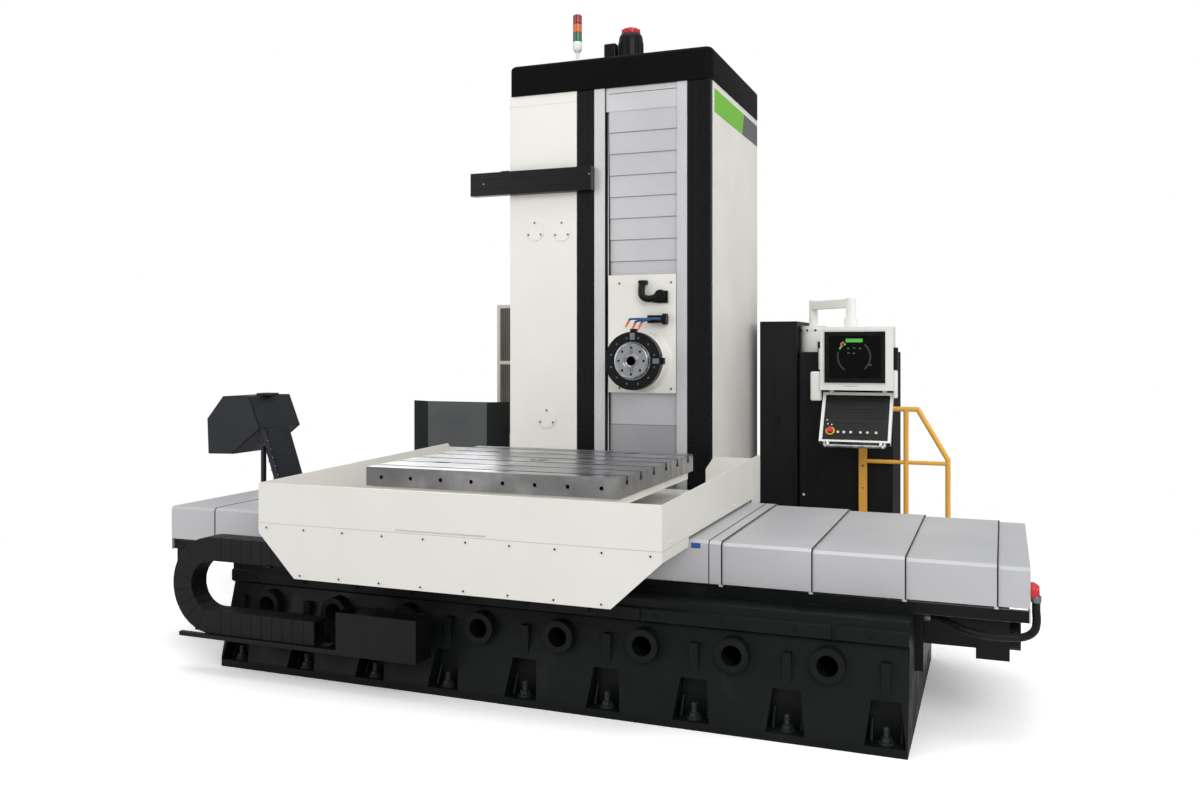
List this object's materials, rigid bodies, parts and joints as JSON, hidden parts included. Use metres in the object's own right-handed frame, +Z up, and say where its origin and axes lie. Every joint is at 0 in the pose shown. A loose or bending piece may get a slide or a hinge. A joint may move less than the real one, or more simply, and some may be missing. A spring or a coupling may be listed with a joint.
{
  "type": "horizontal boring mill",
  "caption": "Horizontal boring mill with a rotary table moving along a front bed, and a tall column carrying a spindle head that moves along a rear bed.",
  "frame": {"origin": "on the floor, on the underside of the front bed, midway along it and under the centre of its guideways", "axes": "+X along the front bed to the right seen from the operator, +Y away from the operator along the rear bed, +Z up"},
  "size_m": [6.5319, 5.221, 4.647],
  "materials": {
    "bed_paint": "satin dark grey paint",
    "machine_white": "satin white paint",
    "black_paint": "satin black paint",
    "cover_steel": "ground steel sheet",
    "table_steel": "ground cast table",
    "bright_steel": "ground steel",
    "cast_dark": "machined casting",
    "rubber_black": "matt rubber",
    "blue_hose": "blue hose",
    "yellow_paint": "yellow paint",
    "cabinet_grey": "textured dark paint",
    "screen_grey": "satin grey paint",
    "deck_grey": "plain deck",
    "lamp_plastic": "coloured lenses",
    "red_plastic": "red cap",
    "chain_plastic": "moulded links"
  },
  "bodies": {
    "frame": {"front_bed": "bed_paint", "levelling_bolts": "bright_steel", "x_rails": "bright_steel", "x_drive": "black_paint", "cable_tray": "black_paint", "coolant_hose": "rubber_black", "covers_end": "cover_steel", "rear_bed": "bed_paint", "y_rails": "bright_steel", "cabinet": "cabinet_grey", "railing": "yellow_paint", "platform": "deck_grey", "guard_screen": "screen_grey", "cooling_cabinet": "machine_white", "conveyor": "black_paint"},
    "saddle": {"saddle": "cast_dark", "chip_pan": "machine_white", "pan_screws": "bright_steel", "covers_inner": "cover_steel"},
    "table": {"rotary_table": "table_steel", "table_skirt": "machine_white"},
    "carrier": {"cable_carrier": "chain_plastic"},
    "cover_r2": {"cover_r2": "cover_steel"},
    "cover_r3": {"cover_r3": "cover_steel"},
    "cover_r4": {"cover_r4": "cover_steel"},
    "cover_l2": {"cover_l2": "cover_steel"},
    "cover_l3": {"cover_l3": "cover_steel"},
    "x_screw": {"x_ballscrew": "bright_steel"},
    "y_screw": {"y_ballscrew": "bright_steel"},
    "z_screw": {"z_ballscrew": "bright_steel"},
    "column": {"column": "machine_white", "column_cap": "black_paint", "column_panel": "machine_white", "column_trim": "black_paint", "way_strips": "bright_steel", "side_beam": "black_paint", "access_plates": "machine_white", "stack_light": "lamp_plastic", "head_motor": "black_paint"},
    "head": {"spindle_head": "machine_white", "nose_ring": "black_paint", "coolant_manifold": "black_paint", "coolant_lines": "blue_hose"},
    "spindle": {"spindle": "bright_steel"},
    "boring_spindle": {"boring_spindle": "bright_steel"},
    "door": {"cabinet_door": "cabinet_grey"},
    "arm": {"pendant_arm": "machine_white"},
    "panel": {"operator_panel": "machine_white"},
    "keyboard": {"keyboard_panel": "machine_white"},
    "estop": {"estop": "red_plastic"},
    "shutter_u1": {"shutter_u1": "cover_steel"},
    "shutter_u2": {"shutter_u2": "cover_steel"},
    "shutter_u3": {"shutter_u3": "cover_steel"},
    "shutter_u4": {"shutter_u4": "cover_steel"},
    "shutter_u5": {"shutter_u5": "cover_steel"},
    "shutter_u6": {"shutter_u6": "cover_steel"},
    "shutter_u7": {"shutter_u7": "cover_steel"},
    "shutter_d1": {"shutter_d1": "cover_steel"},
    "shutter_d2": {"shutter_d2": "cover_steel"},
    "shutter_d3": {"shutter_d3": "cover_steel"}
  },
  "joints": [
    {"name": "saddle_slide", "type": "slide", "parent": "frame", "child": "saddle", "axis": [1, 0, 0], "range_m": [-0.645, 1.355]},
    {"name": "table_turn", "type": "hinge", "parent": "saddle", "child": "table", "pos_m": [-0.355, 0, 1.147], "axis": [0, 0, 1], "continuous": true},
    {"name": "carrier_slide", "type": "slide", "parent": "frame", "child": "carrier", "axis": [1, 0, 0], "range_m": [-0.3245, 0.6795]},
    {"name": "cover_r2_slide", "type": "slide", "parent": "frame", "child": "cover_r2", "axis": [1, 0, 0], "range_m": [-0.4535, 0.9505]},
    {"name": "cover_r3_slide", "type": "slide", "parent": "frame", "child": "cover_r3", "axis": [1, 0, 0], "range_m": [-0.2535, 0.5304]},
    {"name": "cover_r4_slide", "type": "slide", "parent": "frame", "child": "cover_r4", "axis": [1, 0, 0], "range_m": [-0.0568, 0.1172]},
    {"name": "cover_l2_slide", "type": "slide", "parent": "frame", "child": "cover_l2", "axis": [1, 0, 0], "range_m": [-0.5373, 1.1266]},
    {"name": "cover_l3_slide", "type": "slide", "parent": "frame", "child": "cover_l3", "axis": [1, 0, 0], "range_m": [-0.3632, 0.7608]},
    {"name": "x_screw_turn", "type": "hinge", "parent": "frame", "child": "x_screw", "pos_m": [0, 0, 0.56], "axis": [1, 0, 0], "continuous": true},
    {"name": "column_slide", "type": "slide", "parent": "frame", "child": "column", "axis": [0, 1, 0], "range_m": [0, 1.3]},
    {"name": "y_screw_turn", "type": "hinge", "parent": "frame", "child": "y_screw", "pos_m": [-0.49, 1.3, 0.52], "axis": [0, 1, 0], "continuous": true},
    {"name": "head_slide", "type": "slide", "parent": "column", "child": "head", "axis": [0, 0, 1], "range_m": [-0.4, 1.12]},
    {"name": "z_screw_turn", "type": "hinge", "parent": "column", "child": "z_screw", "pos_m": [-0.027, 2.08, 1], "axis": [0, 0, 1], "continuous": true},
    {"name": "shutter_u1_slide", "type": "slide", "parent": "column", "child": "shutter_u1", "axis": [0, 0, 1], "range_m": [-0.352, 0.982]},
    {"name": "shutter_u2_slide", "type": "slide", "parent": "column", "child": "shutter_u2", "axis": [0, 0, 1], "range_m": [-0.302, 0.842]},
    {"name": "shutter_u3_slide", "type": "slide", "parent": "column", "child": "shutter_u3", "axis": [0, 0, 1], "range_m": [-0.252, 0.702]},
    {"name": "shutter_u4_slide", "type": "slide", "parent": "column", "child": "shutter_u4", "axis": [0, 0, 1], "range_m": [-0.202, 0.562]},
    {"name": "shutter_u5_slide", "type": "slide", "parent": "column", "child": "shutter_u5", "axis": [0, 0, 1], "range_m": [-0.152, 0.422]},
    {"name": "shutter_u6_slide", "type": "slide", "parent": "column", "child": "shutter_u6", "axis": [0, 0, 1], "range_m": [-0.102, 0.282]},
    {"name": "shutter_u7_slide", "type": "slide", "parent": "column", "child": "shutter_u7", "axis": [0, 0, 1], "range_m": [-0.052, 0.142]},
    {"name": "shutter_d1_slide", "type": "slide", "parent": "column", "child": "shutter_d1", "axis": [0, 0, 1], "range_m": [-0.302, 0.842]},
    {"name": "shutter_d2_slide", "type": "slide", "parent": "column", "child": "shutter_d2", "axis": [0, 0, 1], "range_m": [-0.202, 0.562]},
    {"name": "shutter_d3_slide", "type": "slide", "parent": "column", "child": "shutter_d3", "axis": [0, 0, 1], "range_m": [-0.102, 0.282]},
    {"name": "spindle_turn", "type": "hinge", "parent": "head", "child": "spindle", "pos_m": [-0.027, 1, 1.915], "axis": [0, 1, 0], "continuous": true},
    {"name": "boring_spindle_slide", "type": "slide", "parent": "spindle", "child": "boring_spindle", "axis": [0, -1, 0], "range_m": [0, 0.5]},
    {"name": "door_hinge", "type": "hinge", "parent": "frame", "child": "door", "pos_m": [0.913, 2.384, 1], "axis": [0, 0, 1], "range_deg": [0, 95]},
    {"name": "arm_swivel", "type": "hinge", "parent": "frame", "child": "arm", "pos_m": [1.024, 2.56, 2], "axis": [0, 0, 1], "range_deg": [-50, 3]},
    {"name": "panel_swivel", "type": "hinge", "parent": "arm", "child": "panel", "pos_m": [1.385, 2.19, 2.2], "axis": [0, 0, 1], "range_deg": [-25, 22]},
    {"name": "keyboard_tilt", "type": "hinge", "parent": "panel", "child": "keyboard", "pos_m": [1.45, 2.12, 1.63], "axis": [1, 0, 0], "range_deg": [-15, 15]},
    {"name": "estop_press", "type": "slide", "parent": "keyboard", "child": "estop", "axis": [0, 0.848, -0.5299], "range_m": [0, 0.008], "stiffness_N_per_m": 600, "springref_m": -0.004}
  ],
  "couplings": [
    {"joint": "carrier_slide", "follows": "saddle_slide", "ratio": 0.5},
    {"joint": "cover_r2_slide", "follows": "saddle_slide", "ratio": 0.7},
    {"joint": "cover_r3_slide", "follows": "saddle_slide", "ratio": 0.39},
    {"joint": "cover_r4_slide", "follows": "saddle_slide", "ratio": 0.085},
    {"joint": "cover_l2_slide", "follows": "saddle_slide", "ratio": 0.83},
    {"joint": "cover_l3_slide", "follows": "saddle_slide", "ratio": 0.56},
    {"joint": "x_screw_turn", "follows": "saddle_slide", "rad_per_m": 314.16},
    {"joint": "y_screw_turn", "follows": "column_slide", "rad_per_m": 314.16},
    {"joint": "z_screw_turn", "follows": "head_slide", "rad_per_m": 314.16},
    {"joint": "shutter_u1_slide", "follows": "head_slide", "ratio": 0.875},
    {"joint": "shutter_u2_slide", "follows": "head_slide", "ratio": 0.75},
    {"joint": "shutter_u3_slide", "follows": "head_slide", "ratio": 0.625},
    {"joint": "shutter_u4_slide", "follows": "head_slide", "ratio": 0.5},
    {"joint": "shutter_u5_slide", "follows": "head_slide", "ratio": 0.375},
    {"joint": "shutter_u6_slide", "follows": "head_slide", "ratio": 0.25},
    {"joint": "shutter_u7_slide", "follows": "head_slide", "ratio": 0.125},
    {"joint": "shutter_d1_slide", "follows": "head_slide", "ratio": 0.75},
    {"joint": "shutter_d2_slide", "follows": "head_slide", "ratio": 0.5},
    {"joint": "shutter_d3_slide", "follows": "head_slide", "ratio": 0.25}
  ]
}
